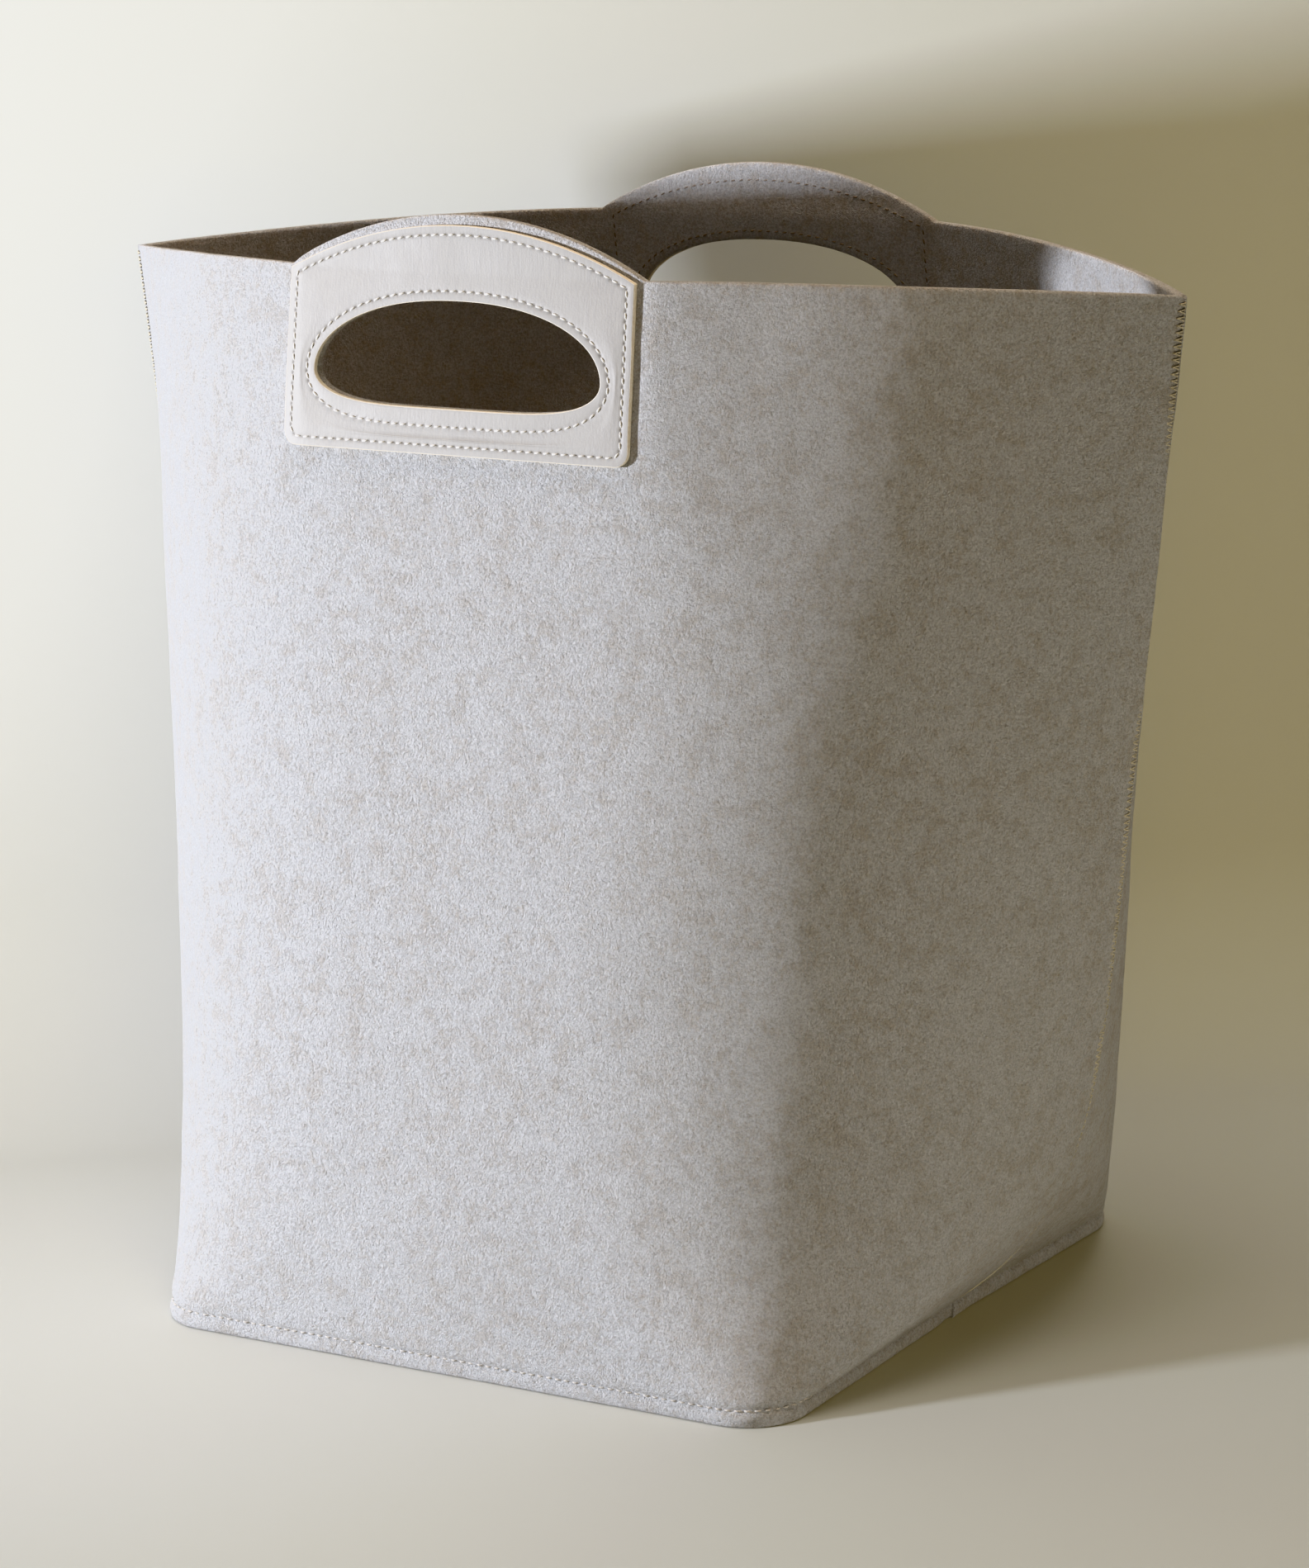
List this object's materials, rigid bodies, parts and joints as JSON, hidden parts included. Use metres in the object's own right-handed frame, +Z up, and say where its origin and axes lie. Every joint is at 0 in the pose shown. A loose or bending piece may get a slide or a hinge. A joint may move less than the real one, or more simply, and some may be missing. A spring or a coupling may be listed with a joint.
{
  "type": "fabric storage bin",
  "caption": "Tall open felt storage bin with a rounded square base, a pointed oval mouth and arched, leather-faced hand holds.",
  "frame": {"origin": "middle of the base panel's underside, on the floor", "axes": "+X to the right along the wide mouth, from side seam to side seam; +Y from the front wall to the back wall; +Z up"},
  "size_m": [0.5022, 0.319, 0.4645],
  "materials": {
    "wall_felt": "thick oatmeal heather felt, fuzzy, with beige-brown mottling",
    "base_felt": "thick oatmeal heather felt, fuzzy",
    "facing_leather": "smooth warm light grey imitation leather, fine grain, satin, with cream cut edges",
    "facing_thread": "twisted cream-white sewing thread",
    "seam_thread": "fine olive-beige sewing thread",
    "hem_thread": "fine beige sewing thread, sunk in the felt"
  },
  "bodies": {
    "root": {"front_wall": "wall_felt", "back_wall": "wall_felt", "base_panel": "base_felt", "front_handle_facing": "facing_leather", "back_handle_facing": "facing_leather", "front_facing_edge_thread": "facing_thread", "front_facing_hole_thread": "facing_thread", "back_facing_edge_thread": "facing_thread", "back_facing_hole_thread": "facing_thread", "left_seam_thread": "seam_thread", "right_seam_thread": "seam_thread", "front_hem_thread": "hem_thread", "back_hem_thread": "hem_thread"}
  },
  "joints": []
}
